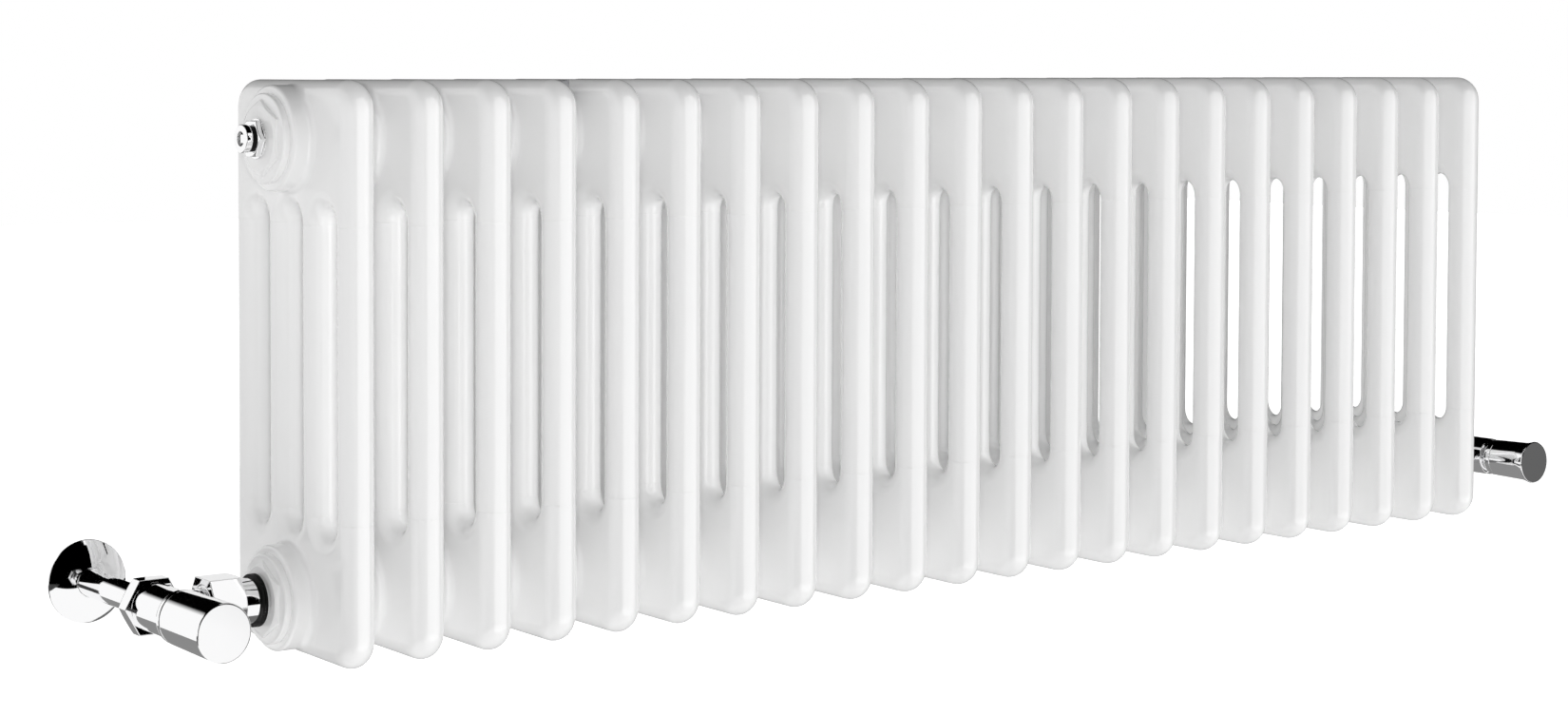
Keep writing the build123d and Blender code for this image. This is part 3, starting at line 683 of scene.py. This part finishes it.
class RADIATOR_OT_rosettes(bpy.types.Operator):
    """Model the two domed rosettes that cover the pipes' holes in the wall"""

    bl_idname = "radiator.rosettes"
    bl_label = "Model the rosettes"

    def execute(self, context):
        low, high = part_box("rosettes")
        pipe_low, pipe_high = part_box("supply_pipe")
        reach = (high.z - low.z) / 2
        bore = (pipe_high.z - pipe_low.z) / 2 + BORE_CLEARANCE
        rise = high.y - low.y - ROSETTE_RIM
        clear_selection()
        bpy.ops.mesh.primitive_cylinder_add(
            vertices=ROSETTE_POINTS,
            radius=reach,
            depth=ROSETTE_RIM,
            end_fill_type="NGON",
        )
        rosettes = context.object
        rosettes.name = "rosette_domes"
        select_faces(rosettes, lambda face: face.normal.z > FLAT_NORMAL)
        for inward, upward in dome_steps(reach, bore, rise):
            bpy.ops.mesh.inset(thickness=inward, depth=upward)
        select_faces(rosettes, lambda face: face.normal.z < -FLAT_NORMAL)
        bpy.ops.mesh.inset(thickness=reach - bore)
        select_faces(rosettes, lambda face: len(face.vertices) == ROSETTE_POINTS)
        bpy.ops.mesh.bridge_edge_loops()
        bpy.ops.mesh.select_all(action="SELECT")
        bpy.ops.mesh.normals_make_consistent(inside=False)
        tip_about_x(-QUARTER_TURN)
        bpy.ops.transform.translate(
            value=(low.x + reach, high.y - ROSETTE_RIM / 2, (low.z + high.z) / 2)
        )
        bpy.ops.mesh.duplicate()
        bpy.ops.transform.translate(value=(high.x - low.x - 2 * reach, 0.0, 0.0))
        bpy.ops.object.mode_set(mode="OBJECT")
        bpy.ops.object.shade_smooth_by_angle(angle=SMOOTH_ANGLE)
        rosettes.data.materials.append(bpy.data.materials["chrome_finish"])
        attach(rosettes, "radiator")
        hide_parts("rosettes")
        return {"FINISHED"}


def seen_ray(tree, path):
    """A value of 1 for rays that show the plain background: camera and transmission rays."""
    either = add_node(tree, "Math", operation="MAXIMUM")
    tree.links.new(path.outputs["Is Camera Ray"], either.inputs[0])
    tree.links.new(path.outputs["Is Transmission Ray"], either.inputs[1])
    return either.outputs["Value"]


def mixed(tree, factor, first, second):
    """A number between two numbers, each a socket or a constant."""
    mix = add_node(tree, "Mix", data_type="FLOAT")
    tree.links.new(factor, mix.inputs[0])
    for socket, value in ((mix.inputs[2], first), (mix.inputs[3], second)):
        if isinstance(value, float):
            socket.default_value = value
        else:
            tree.links.new(value, socket)
    return mix.outputs[0]


def plain_world(look):
    """Room that the camera sees white, that lights most from behind and mirrors partly dark."""
    world = bpy.data.worlds.new("studio_room")
    bpy.context.scene.world = world
    world.use_nodes = True
    tree = world.node_tree
    tree.nodes.clear()
    output = add_node(tree, "OutputWorld")
    place = add_node(tree, "TexCoord")
    split = add_node(tree, "SeparateXYZ")
    tree.links.new(place.outputs["Generated"], split.inputs["Vector"])
    height = ranged(tree, split.outputs["Z"], look.horizon_light, look.ceiling_light, 0.0, 1.0)
    depth = ranged(tree, split.outputs["Y"], look.front_share, look.back_share, -1.0, 1.0)
    soft = add_node(tree, "Math", operation="MULTIPLY")
    tree.links.new(height, soft.inputs[0])
    tree.links.new(depth, soft.inputs[1])
    mirror = add_node(tree, "Math", operation="MINIMUM")
    for socket, (heading, edge, blur) in zip(mirror.inputs, (DARK_BACK, DARK_FRONT)):
        side = add_node(tree, "VectorMath", operation="DOT_PRODUCT")
        tree.links.new(place.outputs["Generated"], side.inputs[0])
        side.inputs[1].default_value = heading
        bright = ranged(tree, side.outputs["Value"], 1.0, 0.0, edge - blur, edge + blur)
        tree.links.new(bright, socket)
    path = add_node(tree, "LightPath")
    glossy = path.outputs["Is Glossy Ray"]
    unseen = mixed(tree, glossy, soft.outputs["Value"], mirror.outputs["Value"])
    light = mixed(tree, seen_ray(tree, path), unseen, 1.0)
    back = add_node(tree, "Background", Color=opaque(WHITE))
    tree.links.new(light, back.inputs["Strength"])
    tree.links.new(back.outputs["Background"], output.inputs["Surface"])


def floor_finish(glow):
    """Pale floor that reads as white but still takes the soft shadow."""
    material = bpy.data.materials.new("pale_floor")
    material.use_nodes = True
    tree = material.node_tree
    tree.nodes.clear()
    output = add_node(tree, "OutputMaterial")
    matt = add_node(tree, "BsdfDiffuse", Color=opaque(FLOOR_COLOUR))
    light = add_node(tree, "Emission", Color=opaque(WHITE))
    seen = seen_ray(tree, add_node(tree, "LightPath"))
    tree.links.new(mixed(tree, seen, glow, FLOOR_SEEN), light.inputs["Strength"])
    both = add_node(tree, "AddShader")
    tree.links.new(matt.outputs["BSDF"], both.inputs[0])
    tree.links.new(light.outputs["Emission"], both.inputs[1])
    tree.links.new(both.outputs["Shader"], output.inputs["Surface"])
    return material


def card_finish(name, grey):
    """Plain card that glows in one grey, so that it needs no light."""
    material = bpy.data.materials.new(name)
    material.use_nodes = True
    tree = material.node_tree
    tree.nodes.clear()
    output = add_node(tree, "OutputMaterial")
    light = add_node(tree, "Emission", Color=opaque(WHITE), Strength=grey)
    tree.links.new(light.outputs["Emission"], output.inputs["Surface"])
    return material


def card_corners(low, high):
    """The corners of a card square to the axes, in the order of a plane's vertices."""
    across, along = [axis for axis in range(3) if low[axis] != high[axis]]
    corners = []
    for end in (low, high):
        for side in (low, high):
            corner = list(low)
            corner[across] = side[across]
            corner[along] = end[along]
            corners.append(corner)
    return corners


def mirror_card(name, low, high, grey):
    """A studio card that shows only in reflections, as a painted reflection."""
    clear_selection()
    bpy.ops.mesh.primitive_plane_add()
    card = bpy.context.object
    card.name = name
    for vertex, corner in zip(card.data.vertices, card_corners(low, high)):
        vertex.co = corner
    card.data.materials.append(card_finish(name + "_grey", grey))
    card.visible_camera = False
    card.visible_diffuse = False
    card.visible_shadow = False
    card.visible_transmission = False


def soft_box(name, place, target, size, power):
    """A large soft light that faces a point."""
    clear_selection()
    bpy.ops.object.light_add(type="AREA", location=place)
    lamp = bpy.context.object
    lamp.name = name
    lamp.data.shape = "RECTANGLE"
    lamp.data.size = size[0]
    lamp.data.size_y = size[1]
    lamp.data.energy = power
    heading = [end - start for end, start in zip(target, place)]
    flat = math.hypot(heading[0], heading[1])
    lamp.rotation_euler = (
        math.atan2(flat, -heading[2]),
        0.0,
        math.atan2(-heading[0], heading[1]),
    )
    lamp.visible_camera = False
    return lamp


def add_floor(look):
    """The pale floor, which shows in no reflection."""
    clear_selection()
    level = CAD_BOX[0].z - look.floor_drop
    bpy.ops.mesh.primitive_plane_add(size=FLOOR_SIZE, location=(0.0, 0.0, level))
    floor = bpy.context.object
    floor.name = "studio_floor"
    floor.data.materials.append(floor_finish(look.floor_glow))
    floor.visible_glossy = False


def add_fills(look):
    """The two fill lamps, which light the parts but show in no reflection."""
    for name, (place, size) in FILLS.items():
        fill = soft_box(name, place, FILL_TARGET, size, getattr(look, name))
        fill.visible_glossy = False


def add_highlight(look):
    """The lamp that only the painted parts mirror."""
    painted = bpy.data.collections.new("painted_parts")
    for name in SECTION_NODES + BUSH_NODES:
        painted.objects.link(NODES[name])
    lamp = soft_box(
        "highlight_lamp", HIGHLIGHT_PLACE, HIGHLIGHT_TARGET, HIGHLIGHT_SIZE, look.highlight
    )
    lamp.visible_diffuse = False
    lamp.light_linking.receiver_collection = painted


def add_camera(look):
    """The camera that stands where the photograph was taken."""
    clear_selection()
    bpy.ops.object.camera_add(location=look.camera_place)
    camera = bpy.context.object
    camera.name = "photo_camera"
    camera.rotation_euler = (
        QUARTER_TURN - look.camera_tilt,
        0.0,
        -look.camera_heading,
    )
    camera.data.sensor_fit = "HORIZONTAL"
    camera.data.sensor_width = PICTURE_WIDTH
    camera.data.lens = look.camera_lens
    camera.data.shift_x = look.camera_shift[0]
    camera.data.shift_y = look.camera_shift[1]
    camera.data.clip_start = CLIP_START
    camera.data.clip_end = CLIP_END
    bpy.context.scene.camera = camera


class RADIATOR_OT_stage(bpy.types.Operator):
    """Set up the room, the floor, the lamps, the cards and the camera"""

    bl_idname = "radiator.stage"
    bl_label = "Set up the stage"

    def execute(self, context):
        look = context.scene.radiator_stage
        context.scene.view_settings.view_transform = "Standard"
        plain_world(look)
        add_floor(look)
        add_fills(look)
        add_highlight(look)
        for name, (low, high, grey) in CARDS.items():
            mirror_card(name, low, high, grey)
        add_camera(look)
        return {"FINISHED"}


class RADIATOR_PT_panel(bpy.types.Panel):
    """Sidebar panel that lists the steps and their values"""

    bl_idname = "RADIATOR_PT_panel"
    bl_label = "Column radiator"
    bl_space_type = "VIEW_3D"
    bl_region_type = "UI"
    bl_category = "Radiator"

    def draw(self, context):
        layout = self.layout
        for group in GROUPS:
            box = layout.box()
            look = getattr(context.scene, group)
            for key in look.bl_rna.properties.keys():
                if key not in ("rna_type", "name"):
                    box.prop(look, key)
        for operator in OPERATORS:
            layout.operator(operator.bl_idname)


GROUPS = {
    "radiator_paint": PaintLook,
    "radiator_metal": MetalLook,
    "radiator_stage": StageLook,
}
OPERATORS = (
    RADIATOR_OT_paint,
    RADIATOR_OT_plate,
    RADIATOR_OT_seal,
    RADIATOR_OT_fixings,
    RADIATOR_OT_gap_shade_ring,
    RADIATOR_OT_rosettes,
    RADIATOR_OT_stage,
)
CLASSES = (*GROUPS.values(), *OPERATORS, RADIATOR_PT_panel)


def register():
    """Register the classes and hang the property groups on the scene."""
    for cls in CLASSES:
        bpy.utils.register_class(cls)
    for name, group in GROUPS.items():
        setattr(bpy.types.Scene, name, bpy.props.PointerProperty(type=group))


def unregister():
    """Take the property groups and the classes away again."""
    for name in GROUPS:
        delattr(bpy.types.Scene, name)
    for cls in reversed(CLASSES):
        bpy.utils.unregister_class(cls)


def main():
    """Run every step in order."""
    register()
    bpy.ops.radiator.paint()
    bpy.ops.radiator.plate()
    bpy.ops.radiator.seal()
    bpy.ops.radiator.fixings()
    bpy.ops.radiator.knob_ring()
    bpy.ops.radiator.rosettes()
    bpy.ops.radiator.stage()
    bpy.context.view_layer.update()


if __name__ == "__main__":
    main()
